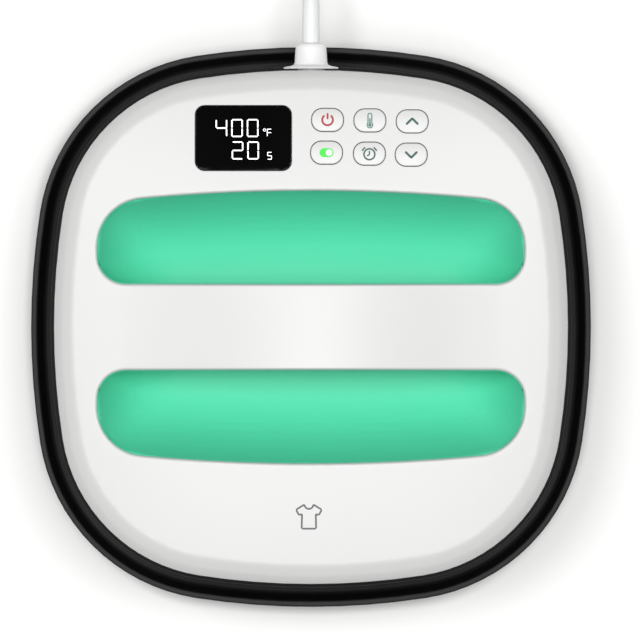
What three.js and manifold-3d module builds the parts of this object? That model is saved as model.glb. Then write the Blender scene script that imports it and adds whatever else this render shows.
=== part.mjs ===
// Portable heat press standing in its safety base, with its mains lead coiled behind it.
//
// Millimetres. +Z is up, +Y points to the back, where the lead leaves, and -Y to the user.
// The origin is on the table, under the middle of the base.
//
// Seen from above, every big part has the same outline: a square with bowed sides and wide
// round corners. The press is a white shell over a black lower housing that carries the
// heating plate. A green well lies in its top, and the handle bridges that well.

import * as THREE from 'three';
import { mergeVertices } from 'three/addons/utils/BufferGeometryUtils.js';
import Module from 'manifold-3d';

const wasm = await Module();
wasm.setup();

// ---------------------------------------------------------------- driving dimensions

const GAP = 0.3; // between parts that rest on each other
const WALL = 3; // moulded wall of the shell

// The outline family, by half width
const SIDE_CENTRE = 237; // how far the centre of a side's arc lies past the middle
const CORNER_LESS = 46.7; // corner radius = half width - this
const BASE_HALF = 140.2;
const LIP_HALF = 137.2; // inner edge of the base's rim
const FLANGE_HALF = 130.3; // black flange under the shell
const SHELL_HALF = 128.5; // the shell at its lower edge
const SHELL_TOP_HALF = 127.2; // the shell where its wall turns in
const SHOULDER_HALF = 114.2; // where the shoulder meets the top
const PLATE_HALF = 114.3; // a 9 inch heating plate

// Heights
const FOOT_TOP = 2.7;
const TRAY_BOTTOM = 3;
const TRAY_FLOOR = 7;
const RIM_TOP = 27;
const MAT_TOP = 10.5;
const PLATE_BOTTOM = 10.8;
const PLATE_TOP = 24.8;
const PAD_BOTTOM = 33;
const PAD_TOP = 39.2;
const SHIELD_TOP = 41;
const SHELF_BOTTOM = 42;
const SHELF_TOP = 45;
const FLANGE_TOP = 40;
const SHELL_BOTTOM = 40.3;
const SHOULDER_BOTTOM = 90;
const SHOULDER_TOP = 103;
const DOME_RISE = 5; // of the top above the shoulder
const RIM_JOINT = 100.4; // underside of the shell's lips around the well
const WELL_FLOOR = 52;
const POWER_BOARD_TOP = 51.3;
const CONTROL_BOARD_TOP = 89.6;

// The well and the handle
const WELL_HALF_LENGTH = 106;
const WELL_BULGE = 67.5; // how far the well reaches from the middle line
const WELL_BULGE_RADIUS = 926;
const WELL_CORNER = 24;
const WELL_INNER_CORNER = 14;
const HANDLE_HALF_WIDTH = 21.5;
const HANDLE_HALF_LENGTH = 98;
const HANDLE_RISE = 7; // of the handle above the top
const HANDLE_BOTTOM = 84;
const LINER_WALL = 2.2;

// The controls
const DISPLAY = { x: -33.5, y: 93.75, width: 47.5, depth: 32, corner: 4.5 };
const KEY = { width: 15.6, depth: 11.2, corner: 5.2, proud: 0.5 };
const KEYS = [
  { name: 'key_power', x: 8.25, y: 102.75 },
  { name: 'key_temperature', x: 29.25, y: 102.5 },
  { name: 'key_up', x: 50.25, y: 102 },
  { name: 'key_start', x: 7.75, y: 86.5 },
  { name: 'key_timer', x: 29, y: 86 },
  { name: 'key_down', x: 49.75, y: 85.5 },
];

// Screws, by the distance of each from the middle planes
const SHELL_SCREW = 89;
const PLATE_SCREW = 74;
const HANDLE_SCREW = 70;

// The mains lead
const CORD_RADIUS = 4.25;
const CORD_Z = 56; // height of the exit
const RELIEF_TIP = 141.5;
const TURN_STEP = 8.7; // from one turn of the coil to the next
const COIL_INNER = 39.5; // innermost turn, to the middle of the cord
const COIL_OUTER = COIL_INNER + 2.5 * TURN_STEP;
const COIL_X = -COIL_OUTER;
const COIL_Y = 240;
const COIL_LIFT = 1; // the strap under the coil lifts it this far

// ---------------------------------------------------------------- outlines

const CORNER_CENTRE = (Math.sqrt(2 * (SIDE_CENTRE + CORNER_LESS) ** 2 - SIDE_CENTRE ** 2) - SIDE_CENTRE) / 2;
const SIDE_ANGLE = Math.atan2(CORNER_CENTRE, CORNER_CENTRE + SIDE_CENTRE);

/** Points on an arc, without its last one. */
function arc(x, y, radius, from, to, steps) {
  return Array.from({ length: steps }, (_, i) => {
    const angle = from + (to - from) * (i / steps);
    return new THREE.Vector2(x + radius * Math.cos(angle), y + radius * Math.sin(angle));
  });
}

/** The common outline: four bowed sides and four corner arcs that run into them. */
function bowedSquare(half) {
  const quarter = [
    ...arc(-SIDE_CENTRE, 0, half + SIDE_CENTRE, -SIDE_ANGLE, SIDE_ANGLE, 3),
    ...arc(CORNER_CENTRE, CORNER_CENTRE, half - CORNER_LESS, SIDE_ANGLE, Math.PI / 2 - SIDE_ANGLE, 6),
  ];
  const middle = new THREE.Vector2();
  return [0, 1, 2, 3].flatMap((side) => quarter.map((p) => p.clone().rotateAround(middle, (side * Math.PI) / 2)));
}

/** How far that outline lies from the middle, along an angle. */
function reach(half, angle) {
  const folded = Math.abs(angle - Math.round(angle / (Math.PI / 2)) * (Math.PI / 2));
  const along = new THREE.Vector2(Math.cos(folded), Math.sin(folded));
  const hit = (centre, radius) => {
    const dot = along.dot(centre);
    return dot + Math.sqrt(dot * dot - centre.lengthSq() + radius * radius);
  };
  const side = hit(new THREE.Vector2(-SIDE_CENTRE, 0), half + SIDE_CENTRE);
  const sideAngle = Math.atan2(side * along.y, side * along.x + SIDE_CENTRE);
  if (sideAngle <= SIDE_ANGLE) return side;
  return hit(new THREE.Vector2(CORNER_CENTRE, CORNER_CENTRE), half - CORNER_LESS);
}

const BULGE_CENTRE = WELL_BULGE - WELL_BULGE_RADIUS;
const WELL_CORNER_X = WELL_HALF_LENGTH - WELL_CORNER;
const WELL_CORNER_Y = BULGE_CENTRE + Math.sqrt((WELL_BULGE_RADIUS - WELL_CORNER) ** 2 - WELL_CORNER_X ** 2);
const BULGE_ANGLE = Math.atan2(WELL_CORNER_X, WELL_CORNER_Y - BULGE_CENTRE);

/** The outer edge of the back half of the well, from right to left, grown by a margin. */
function wellBack(margin) {
  const radius = WELL_CORNER + margin;
  const right = Math.PI / 2 - BULGE_ANGLE;
  return [
    ...arc(WELL_CORNER_X, WELL_CORNER_Y, radius, 0, right, 5),
    ...arc(0, BULGE_CENTRE, WELL_BULGE_RADIUS + margin, right, Math.PI - right, 6),
    ...arc(-WELL_CORNER_X, WELL_CORNER_Y, radius, Math.PI - right, Math.PI, 5),
    new THREE.Vector2(-WELL_HALF_LENGTH - margin, WELL_CORNER_Y),
  ];
}

/** The opening on one side of the handle, with its straight edge along the handle. */
function wellOpening(margin, side) {
  const x = WELL_HALF_LENGTH - WELL_INNER_CORNER;
  const y = HANDLE_HALF_WIDTH + WELL_INNER_CORNER;
  const radius = WELL_INNER_CORNER + margin;
  const back = [
    ...wellBack(margin),
    ...arc(-x, y, radius, Math.PI, 1.5 * Math.PI, 4),
    ...arc(x, y, radius, 1.5 * Math.PI, 2 * Math.PI, 4),
    new THREE.Vector2(x + radius, y),
  ];
  return side > 0 ? back : back.map((p) => p.clone().rotateAround(new THREE.Vector2(), Math.PI));
}

/** The whole well, which runs on under the handle. */
function wholeWell(margin) {
  const back = wellBack(margin);
  return [...back, ...back.map((p) => p.clone().rotateAround(new THREE.Vector2(), Math.PI))];
}

function roundedRectangle(width, depth, radius) {
  const x = width / 2 - radius;
  const y = depth / 2 - radius;
  const corners = [[x, y], [-x, y], [-x, -y], [x, -y]];
  return corners.flatMap(([cx, cy], i) => [
    ...arc(cx, cy, radius, (i * Math.PI) / 2, ((i + 1) * Math.PI) / 2, 3),
    ...arc(cx, cy, radius, ((i + 1) * Math.PI) / 2, 0, 1),
  ]);
}

// ---------------------------------------------------------------- solids

/** A closed mesh through rings of equal count, lowest first, with a fan at each end. */
function loft(rings) {
  const count = rings[0].length;
  const vertices = rings.flat();
  const index = [];
  for (let ring = 0; ring < rings.length - 1; ring++) {
    for (let i = 0; i < count; i++) {
      const a = ring * count + i;
      const b = ring * count + ((i + 1) % count);
      index.push(a, b, b + count, a, b + count, a + count);
    }
  }
  const middle = (ring) => ring.reduce((sum, p) => sum.add(p), new THREE.Vector3()).divideScalar(count);
  const top = (rings.length - 1) * count;
  vertices.push(middle(rings[0]), middle(rings.at(-1)));
  for (let i = 0; i < count; i++) {
    const next = (i + 1) % count;
    index.push(vertices.length - 2, next, i, vertices.length - 1, top + i, top + next);
  }
  const geometry = new THREE.BufferGeometry().setFromPoints(vertices);
  geometry.setIndex(index);
  return geometry;
}

const level = (outline, z) => outline.map((p) => new THREE.Vector3(p.x, p.y, z));
const moved = (outline, x, y) => outline.map((p) => new THREE.Vector2(p.x + x, p.y + y));

/** A solid between two heights with one outline. */
const prism = (outline, bottom, top) => loft([level(outline, bottom), level(outline, top)]);

/** A loft of the common outline through pairs of half width and height. */
const bowedLoft = (stations) => loft(stations.map(([half, z]) => level(bowedSquare(half), z)));

function box(width, depth, height, x, y, bottom) {
  return new THREE.BoxGeometry(width, depth, height).translate(x, y, bottom + height / 2);
}

function cylinder(radius, bottom, top, x = 0, y = 0, sides = 16) {
  const geometry = new THREE.CylinderGeometry(radius, radius, top - bottom, sides);
  return geometry.rotateX(Math.PI / 2).translate(x, y, (bottom + top) / 2);
}

/** A body turned about +Z from pairs of radius and height, lowest first. */
function turned(profile, sides = 16) {
  const points = profile.map(([radius, z]) => new THREE.Vector2(radius, z));
  return new THREE.LatheGeometry(points, sides).rotateX(Math.PI / 2);
}

/** A round bar along a smooth curve through points. */
function bar(points, radius, sides, steps) {
  const path = new THREE.CatmullRomCurve3(points.map((p) => new THREE.Vector3(...p)), false, 'centripetal');
  const section = new THREE.Shape(arc(0, 0, radius, 0, 2 * Math.PI, sides));
  return new THREE.ExtrudeGeometry(section, { steps, extrudePath: path, curveSegments: sides });
}

function solid(geometry) {
  const plain = geometry.clone();
  plain.deleteAttribute('normal');
  plain.deleteAttribute('uv');
  const merged = mergeVertices(plain, 1e-3);
  const mesh = new wasm.Mesh({
    numProp: 3,
    vertProperties: new Float32Array(merged.attributes.position.array),
    triVerts: new Uint32Array(merged.index.array),
  });
  return new wasm.Manifold(mesh);
}

function geometryOf(body) {
  const mesh = body.getMesh();
  const geometry = new THREE.BufferGeometry();
  geometry.setAttribute('position', new THREE.BufferAttribute(new Float32Array(mesh.vertProperties), 3));
  geometry.setIndex(new THREE.BufferAttribute(new Uint32Array(mesh.triVerts), 1));
  return geometry;
}

const joined = (...geometries) => geometries.map(solid).reduce((a, b) => a.add(b));
const without = (body, ...geometries) => geometries.map(solid).reduce((a, b) => a.subtract(b), body);
const fourCorners = (x, y = x) => [[x, y], [-x, y], [-x, -y], [x, -y]];

/** Height of the shell's top over a point. */
function topHeight(x, y) {
  const share = Math.hypot(x, y) / reach(SHOULDER_HALF, Math.atan2(y, x));
  return SHOULDER_TOP + DOME_RISE * (1 - share * share);
}

const handleTop = (x) => topHeight(x, 0) + HANDLE_RISE * Math.cos((Math.PI / 2) * (x / HANDLE_HALF_LENGTH)) ** 2;

// ---------------------------------------------------------------- the scene

const press = new THREE.Group();
const base = new THREE.Group();
const lead = new THREE.Group();

function add(group, name, geometry, color, roughness = 0.5, metalness = 0) {
  const mesh = new THREE.Mesh(geometry, new THREE.MeshStandardMaterial({ color, roughness, metalness }));
  mesh.name = name;
  group.add(mesh);
  return mesh;
}

const WHITE = 0xeef0f0;
const MINT = 0x5ddcb2;
const BLACK = 0x1c1c1e;
const STEEL = 0xb9bcc0;
const COPPER_BOARD = 0x1f6b3c;

// Safety base: a shallow black tray on four rubber feet, with a heat-proof mat on its floor
const FOOT_PLACE = 78;

function trayGeometry() {
  const outside = bowedLoft([[136.5, TRAY_BOTTOM], [139.2, 12], [BASE_HALF, RIM_TOP - 1.2], [BASE_HALF - 0.8, RIM_TOP]]);
  const inside = bowedLoft([[134.5, TRAY_FLOOR], [LIP_HALF, RIM_TOP], [LIP_HALF, RIM_TOP + 1]]);
  return geometryOf(without(solid(outside), inside));
}

add(base, 'base_tray', trayGeometry(), BLACK, 0.6);
add(base, 'base_mat', prism(bowedSquare(119), TRAY_FLOOR + GAP, MAT_TOP), 0x4a4c50, 0.9);
['back_right', 'back_left', 'front_left', 'front_right'].forEach((place, i) => {
  const [x, y] = fourCorners(FOOT_PLACE)[i];
  add(base, `base_foot_${place}`, turned([[0, 0], [9, 0], [10, FOOT_TOP], [0, FOOT_TOP]]), BLACK, 0.95).position.set(x, y, 0);
});

// Heating plate, its element and sensors, the insulating pad and the heat shield
const plateHoles = fourCorners(PLATE_SCREW).map(([x, y]) => cylinder(2.3, 16.5, 60, x, y, 8));
const leadOpening = prism(moved(roundedRectangle(60, 60, 8), 0, 15), PAD_BOTTOM - 1, SHIELD_TOP + 1);

function plateGeometry() {
  const plate = bowedLoft([[PLATE_HALF - 1.5, PLATE_BOTTOM], [PLATE_HALF, PLATE_BOTTOM + 1.5], [PLATE_HALF, PLATE_TOP]]);
  return geometryOf(without(solid(plate), ...plateHoles));
}

function elementGeometry() {
  const z = PLATE_TOP + GAP + 3.4;
  const loop = Array.from({ length: 23 }, (_, i) => {
    const angle = THREE.MathUtils.degToRad(105 + 15 * i);
    const far = reach(80, angle);
    return [far * Math.cos(angle), far * Math.sin(angle), z];
  });
  return bar([[-12, 40, z], [-12, 58, z], ...loop, [12, 58, z], [12, 40, z]], 3.4, 8, 50);
}

add(press, 'heating_plate', plateGeometry(), 0x3d3f43, 0.35, 0.6);
add(press, 'heating_element', elementGeometry(), 0x8d8f92, 0.4, 0.8);
add(press, 'thermal_cutout', turned([[0, 0], [9, 0], [9, 3], [6, 3], [6, 8], [0, 8]]), 0xe6dcc8, 0.6).position.set(0, 0, PLATE_TOP + GAP);
add(press, 'temperature_sensor', turned([[0, 0], [3, 0], [3, 4], [1.5, 6], [0, 6]], 12), 0xd9d4c6, 0.6).position.set(20, 8, PLATE_TOP + GAP);
add(press, 'insulation_pad', geometryOf(without(solid(prism(bowedSquare(104), PAD_BOTTOM, PAD_TOP)), ...plateHoles, leadOpening)), 0xe9e6da, 0.95);
add(press, 'heat_shield', geometryOf(without(solid(prism(bowedSquare(106), PAD_TOP + GAP, SHIELD_TOP)), ...plateHoles, leadOpening)), STEEL, 0.3, 0.9);

// Lower housing: skirt round the plate, flange under the shell, spigot inside it, and a shelf
const POWER_POSTS = [[55, 74], [-55, 74], [-55, 102], [55, 102]];

function housingGeometry() {
  const outside = bowedLoft([[123.5, 18], [126.5, 34], [FLANGE_HALF, 36.5], [FLANGE_HALF, FLANGE_TOP], [124.9, FLANGE_TOP], [124.9, 47]]);
  const below = bowedLoft([[118.5, 17], [121, SHELF_BOTTOM]]);
  const above = bowedLoft([[122, SHELF_TOP], [122, 48]]);
  const middle = bowedLoft([[55, SHELF_BOTTOM - 1], [55, SHELF_TOP + 1]]);
  const posts = POWER_POSTS.map(([x, y]) => cylinder(3.5, SHELF_TOP - 1, 49.4, x, y, 12));
  const screwHoles = fourCorners(SHELL_SCREW).map(([x, y]) => cylinder(2.4, 41, 46, x, y, 12));
  const ring = without(solid(outside), below, above, middle);
  return geometryOf(without(ring.add(joined(...posts)), ...plateHoles, ...screwHoles));
}

add(press, 'lower_housing', housingGeometry(), BLACK, 0.55);

// Upper shell: bowed wall, round shoulder and gently domed top, with the hollow handle bar,
// the lips round both openings of the well, the openings for the controls, and its bosses
const BOARD_SCREWS = [[63, 77], [-63, 77], [-63, 107], [63, 107]];

function shellForm(inset, bottom) {
  const turn = [0, 22.5, 45, 67.5, 90].map((degrees) => THREE.MathUtils.degToRad(degrees));
  const radius = SHOULDER_TOP - SHOULDER_BOTTOM - inset;
  const wall = [SHELL_HALF - inset, SHELL_TOP_HALF - inset];
  const rings = [level(bowedSquare(wall[0]), bottom)];
  for (const angle of turn) {
    rings.push(level(bowedSquare(SHOULDER_HALF + radius * Math.cos(angle)), SHOULDER_BOTTOM + radius * Math.sin(angle)));
  }
  for (const share of [0.8, 0.55, 0.28]) {
    const outline = bowedSquare(SHOULDER_HALF).map((p) => p.multiplyScalar(share));
    rings.push(level(outline, SHOULDER_TOP - inset + DOME_RISE * (1 - share * share)));
  }
  return loft(rings);
}

/** The handle bar seen from the front, extruded across its width. */
function handleBar(inset, bottom) {
  const half = HANDLE_HALF_LENGTH - inset;
  const profile = [new THREE.Vector2(-half, bottom), new THREE.Vector2(half, bottom)];
  for (let i = 0; i <= 16; i++) {
    const x = half * (1 - i / 8);
    profile.push(new THREE.Vector2(x, handleTop(x) - inset));
  }
  const width = 2 * (HANDLE_HALF_WIDTH - inset);
  return new THREE.ExtrudeGeometry(new THREE.Shape(profile), { depth: width, bevelEnabled: false })
    .rotateX(Math.PI / 2)
    .translate(0, width / 2, 0);
}

function shellGeometry() {
  const outside = solid(shellForm(0, SHELL_BOTTOM));
  const sides = [1, -1];
  const lips = sides.map((side) => prism(wellOpening(2.6, side), RIM_JOINT, 112));
  const shellPosts = fourCorners(SHELL_SCREW).map(([x, y]) => cylinder(4.5, SHELF_TOP + GAP, 112, x, y, 12));
  const boardPosts = BOARD_SCREWS.map(([x, y]) => cylinder(3.5, CONTROL_BOARD_TOP + GAP, 112, x, y, 12));
  const added = joined(...lips, ...shellPosts, ...boardPosts).intersect(outside);
  const bar = without(solid(handleBar(0, RIM_JOINT)), handleBar(WALL, RIM_JOINT - 1));
  const barPosts = [1, -1].map((side) => cylinder(4.5, RIM_JOINT + 1, 106, side * HANDLE_SCREW, 0, 12));
  const body = without(outside, shellForm(WALL, SHELL_BOTTOM - 1)).add(added).subtract(solid(handleBar(WALL, RIM_JOINT - 1)));
  return geometryOf(
    without(
      body.add(bar).add(joined(...barPosts)),
      ...sides.map((side) => prism(wellOpening(0, side), 90, 130)),
      prism(moved(roundedRectangle(DISPLAY.width + 2 * GAP, DISPLAY.depth + 2 * GAP, DISPLAY.corner + GAP), DISPLAY.x, DISPLAY.y), 95, 110),
      ...KEYS.map((key) => prism(moved(roundedRectangle(KEY.width + 2 * GAP, KEY.depth + 2 * GAP, KEY.corner + GAP), key.x, key.y), 95, 110)),
      ...fourCorners(SHELL_SCREW).map(([x, y]) => cylinder(2.3, SHELF_TOP, 62, x, y, 12)),
      ...BOARD_SCREWS.map(([x, y]) => cylinder(1.5, CONTROL_BOARD_TOP, 97, x, y, 12)),
      ...sides.map((side) => cylinder(2, RIM_JOINT, 104, side * HANDLE_SCREW, 0, 8)),
      new THREE.CylinderGeometry(7.2, 7.2, 12, 24).translate(0, 126, CORD_Z),
    ),
  );
}

add(press, 'upper_shell', shellGeometry(), WHITE, 0.45);

// Green liner of the well: a smooth bowl whose rim lies under the shell's lips
function linerGeometry() {
  const bowl = [[-21, WELL_FLOOR], [-17, 53.2], [-11, 58], [-6, 68], [-3, 80], [-1.2, 92]];
  const top = RIM_JOINT - GAP;
  const inside = [...bowl, [0, top], [0, top + 1]].map(([margin, z]) => level(wholeWell(margin), z));
  const outside = bowl.map(([margin, z]) => level(wholeWell(margin + LINER_WALL), z - LINER_WALL));
  outside.push(level(wholeWell(2.6), top - LINER_WALL), level(wholeWell(2.6), top));
  return geometryOf(without(solid(loft(outside)), loft(inside)));
}

add(press, 'grip_well', linerGeometry(), MINT, 0.45);

// Green underside of the handle: a trough that closes the hollow bar, on two screws
function handleCoverGeometry() {
  const trough = (inset) => {
    const half = HANDLE_HALF_WIDTH - GAP - inset;
    const radius = 9 - inset;
    const bottom = HANDLE_BOTTOM + inset;
    const top = RIM_JOINT - GAP + (inset > 0 ? 1 : 0);
    const profile = [
      new THREE.Vector2(-half, top),
      ...arc(-half + radius, bottom + radius, radius, Math.PI, 1.5 * Math.PI, 5),
      ...arc(half - radius, bottom + radius, radius, 1.5 * Math.PI, 2 * Math.PI, 5),
      new THREE.Vector2(half, bottom + radius),
      new THREE.Vector2(half, top),
    ];
    const length = 2 * (103 - inset);
    return new THREE.ExtrudeGeometry(new THREE.Shape(profile), { depth: length, bevelEnabled: false })
      .rotateX(Math.PI / 2)
      .rotateZ(Math.PI / 2)
      .translate(-length / 2, 0, 0);
  };
  const places = [HANDLE_SCREW, -HANDLE_SCREW];
  const hollow = without(solid(trough(0)), trough(2.4));
  const posts = places.map((x) => cylinder(5, HANDLE_BOTTOM + 1, RIM_JOINT - GAP, x, 0, 12));
  return geometryOf(
    without(
      hollow.add(joined(...posts)),
      ...places.map((x) => cylinder(2.2, HANDLE_BOTTOM - 1, RIM_JOINT + 1, x, 0, 12)),
      ...places.map((x) => cylinder(3.9, HANDLE_BOTTOM - 1, HANDLE_BOTTOM + 3.2, x, 0, 12)),
    ),
  );
}

add(press, 'handle_cover', handleCoverGeometry(), MINT, 0.45);

// Display: a dark lens flush in the shell, over the segment display module
function controlPrism(outline, bottom, proud) {
  return loft([level(outline, bottom), outline.map((p) => new THREE.Vector3(p.x, p.y, topHeight(p.x, p.y) + proud))]);
}

const lensOutline = moved(roundedRectangle(DISPLAY.width, DISPLAY.depth, DISPLAY.corner), DISPLAY.x, DISPLAY.y);
add(press, 'display_lens', controlPrism(lensOutline, 101, 0.1), 0x0b0b0d, 0.08);
add(press, 'display_module', box(43, 27, 10.8, DISPLAY.x, DISPLAY.y, CONTROL_BOARD_TOP + GAP), 0x2a2c30, 0.4);

// Six keys: each a capped pad with a retaining flange under the shell and a stem for its switch
const KEY_FLANGE = [98.4, 99.6];
const SWITCH_TOP = 94.2;

function keyGeometry(key) {
  const pad = moved(roundedRectangle(KEY.width, KEY.depth, KEY.corner), key.x, key.y);
  const flange = moved(roundedRectangle(KEY.width + 2, KEY.depth + 2, KEY.corner + 1), key.x, key.y);
  const stem = cylinder(2, SWITCH_TOP + 1, KEY_FLANGE[1], key.x, key.y, 12);
  return geometryOf(joined(controlPrism(pad, KEY_FLANGE[0], KEY.proud), prism(flange, ...KEY_FLANGE), stem));
}

for (const key of KEYS) add(press, key.name, keyGeometry(key), WHITE, 0.4);

// Control board under the keys, with its soldered switches and controller; buzzer below it
function controlBoardGeometry() {
  const board = box(134, 40, 1.6, 0, 92, CONTROL_BOARD_TOP - 1.6);
  const switches = KEYS.flatMap((key) => [
    box(6, 6, 3.4, key.x, key.y, CONTROL_BOARD_TOP - 0.2),
    cylinder(1.7, CONTROL_BOARD_TOP, SWITCH_TOP, key.x, key.y, 8),
  ]);
  const controller = box(10, 10, 1.6, 0, 84, CONTROL_BOARD_TOP - 2.8);
  return geometryOf(without(joined(board, ...switches, controller), ...BOARD_SCREWS.map(([x, y]) => cylinder(1.5, 80, 92, x, y, 12))));
}

add(press, 'control_board', controlBoardGeometry(), COPPER_BOARD, 0.5);
add(press, 'buzzer', cylinder(6, 82.4, 87.7, 24, 94), BLACK, 0.5);

// Power board on the housing's posts, with its soldered fuse and capacitor, and the big parts
function powerBoardGeometry() {
  const board = box(122, 38, 1.6, 0, 88, POWER_BOARD_TOP - 1.6);
  const capacitor = cylinder(6.5, POWER_BOARD_TOP - 0.2, 70, 52, 87);
  const fuse = new THREE.CylinderGeometry(3, 3, 20, 12).rotateZ(Math.PI / 2).translate(-6, 78, POWER_BOARD_TOP + 2.8);
  const plug = box(14, 6, 8, 12, 74, POWER_BOARD_TOP - 0.2);
  return geometryOf(joined(board, capacitor, fuse, plug));
}

const onBoard = POWER_BOARD_TOP + GAP;
add(press, 'power_board', powerBoardGeometry(), COPPER_BOARD, 0.5);
add(press, 'transformer', geometryOf(joined(box(32, 24, 24, -38, 88, onBoard), box(22, 30, 16, -38, 88, onBoard + 4))), 0x2b2d31, 0.5);
add(press, 'relay', box(19, 16, 16, 33, 92, onBoard), 0x2462b0, 0.4);
add(press, 'terminal_block', geometryOf(joined(box(24, 9, 8, 0, 98, onBoard), box(24, 5, 11, 0, 98, onBoard))), 0xdfe3e6, 0.5);
add(press, 'ribbon_cable', box(12, 0.9, 35.7, 48, 103.5, onBoard), 0xc9ccd0, 0.6);

// Wires inside: the lead's inner end under its clamp, and the two heater wires
add(press, 'mains_lead_inner', new THREE.CylinderGeometry(CORD_RADIUS, CORD_RADIUS, 14.6, 12).translate(0, 110.2, CORD_Z), WHITE, 0.5);

function clampGeometry() {
  const block = joined(box(16, 6, 17, 0, 111, SHELF_TOP + GAP), box(26, 6, 3, 0, 111, SHELF_TOP + GAP));
  return geometryOf(without(block, new THREE.CylinderGeometry(CORD_RADIUS + GAP, CORD_RADIUS + GAP, 10, 16).translate(0, 111, CORD_Z)));
}

add(press, 'cord_clamp', clampGeometry(), BLACK, 0.6);
['left', 'right'].forEach((place, i) => {
  const side = i === 0 ? -1 : 1;
  const start = [12 * side, 39.6, 28.5];
  const run = [[12 * side, 33, 29.5], [12 * side, 29, 36], [12 * side, 32, 44], [12 * side, 42, 47.3], [11 + 3.6 * side, 59, 47.6], [12 + 3.5 * side, 64.5, 51]];
  add(press, `heater_wire_${place}`, bar([start, ...run, [12 + 3.5 * side, 69.6, 56]], 1.5, 6, 28), side < 0 ? 0xc7403a : 0xe8e8e6, 0.5);
});

// Strain relief: collar against the shell's back wall, tapered neck outside, flange inside
function reliefGeometry() {
  const profile = [
    [0, 118], [9.5, 118], [9.5, 121.5], [6.9, 121.5], [6.9, 128.8], [13.6, 128.8], [13.6, 129.6], [12.8, 130.4],
    [8.1, 130.4], [7.4, 139], [6.6, 140.8], [4.6, RELIEF_TIP], [0, RELIEF_TIP],
  ];
  return turned(profile, 20).rotateX(-Math.PI / 2).translate(0, 0, CORD_Z);
}

add(press, 'strain_relief', reliefGeometry(), WHITE, 0.45);

// Screws: pan head on top, point at z = 0 before each is placed
function screwGeometry(radius, length, headRadius, headHeight) {
  return turned([[0, 0], [radius, 0], [radius, length], [headRadius, length], [headRadius, length + headHeight * 0.6], [headRadius * 0.7, length + headHeight], [0, length + headHeight]], 8);
}

const CORNERS = ['back_right', 'back_left', 'front_left', 'front_right'];
CORNERS.forEach((place, i) => {
  const [shellX, shellY] = fourCorners(SHELL_SCREW)[i];
  const fromBelow = screwGeometry(2, 18, 3.8, 2.6).rotateX(Math.PI);
  add(press, `shell_screw_${place}`, fromBelow, STEEL, 0.3, 0.9).position.set(shellX, shellY, 59.7);
  const [plateX, plateY] = fourCorners(PLATE_SCREW)[i];
  add(press, `plate_screw_${place}`, screwGeometry(2, 28, 3.8, 2.4), STEEL, 0.3, 0.9).position.set(plateX, plateY, SHELF_TOP + GAP - 28);
  const [boardX, boardY] = BOARD_SCREWS[i];
  const boardScrew = screwGeometry(1.2, 7, 2.6, 1.8).rotateX(Math.PI);
  add(press, `board_screw_${i + 1}`, boardScrew, STEEL, 0.3, 0.9).position.set(boardX, boardY, 94.7);
});
[['left', -HANDLE_SCREW], ['right', HANDLE_SCREW]].forEach(([place, x]) => {
  const handleScrew = screwGeometry(1.7, 16, 3.4, 2.2).rotateX(Math.PI);
  add(press, `handle_screw_${place}`, handleScrew, STEEL, 0.3, 0.9).position.set(x, 0, HANDLE_BOTTOM + 2.9 + 16);
});

// ---------------------------------------------------------------- the mains lead

// From the strain relief it runs straight out and falls onto the coil
const LEAD_ROUTE = [
  [0, 141.8, 56], [0, 149, 56], [0, 157.5, 55.9], [0, 164, 55.2], [0, 172, 52.9], [0, 180, 48.8], [0, 186.5, 43.4],
  [0, 191.5, 37], [0, 195.5, 30.6], [0, 200.2, 25.2], [0, 205.5, 21.2],
];
add(lead, 'cord_lead', bar(LEAD_ROUTE, CORD_RADIUS, 10, 24), WHITE, 0.5);

// The coil: two flat layers of turns, as one ring of their outer shape
const COIL_TOP = COIL_LIFT + 4 * CORD_RADIUS + 0.1;
const COIL_HOLE = COIL_INNER - 1.5 - CORD_RADIUS;
const COIL_RIM = COIL_OUTER + CORD_RADIUS;
const coilProfile = [[COIL_HOLE, 5.2], [COIL_HOLE + 3.2, COIL_LIFT], [COIL_RIM - 3.2, COIL_LIFT], [COIL_RIM, 5.2], [COIL_RIM, 14], [COIL_RIM - 3.2, COIL_TOP], [COIL_HOLE + 3.2, COIL_TOP], [COIL_HOLE, 14], [COIL_HOLE, 5.2]];
add(lead, 'cord_coil', turned(coilProfile, 40), WHITE, 0.5).position.set(COIL_X, COIL_Y, 0);

// The strap that holds the coil, at its left
function tieGeometry() {
  const outer = COIL_RIM + GAP;
  const inner = Math.sqrt(COIL_HOLE ** 2 - 6 ** 2) - GAP;
  const width = outer - inner;
  const band = box(width + 1.4, 12, COIL_TOP + GAP + 0.7, -(outer + inner) / 2, 0, 0);
  const space = box(width, 14, COIL_TOP + 2 * GAP - COIL_LIFT, -(outer + inner) / 2, 0, COIL_LIFT - GAP);
  return geometryOf(without(solid(band), space));
}

add(lead, 'cord_tie', tieGeometry(), BLACK, 0.7).position.set(COIL_X, COIL_Y, 0);

// The last stretch leaves the coil's far side on the table and rises into the plug
const TAIL_Y = COIL_Y + COIL_INNER + 2.25 * TURN_STEP;
const PLUG_Z = 12.2;
const tailX = (run) => COIL_X - run;
const TAIL_ROUTE = [
  [tailX(37.5), TAIL_Y, 8.4], [tailX(41), TAIL_Y, 10.3], [tailX(44.5), TAIL_Y, 11.7], [tailX(47.5), TAIL_Y, PLUG_Z],
  [tailX(50), TAIL_Y, PLUG_Z],
];
add(lead, 'cord_tail', bar(TAIL_ROUTE, CORD_RADIUS, 10, 8), WHITE, 0.5);

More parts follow.
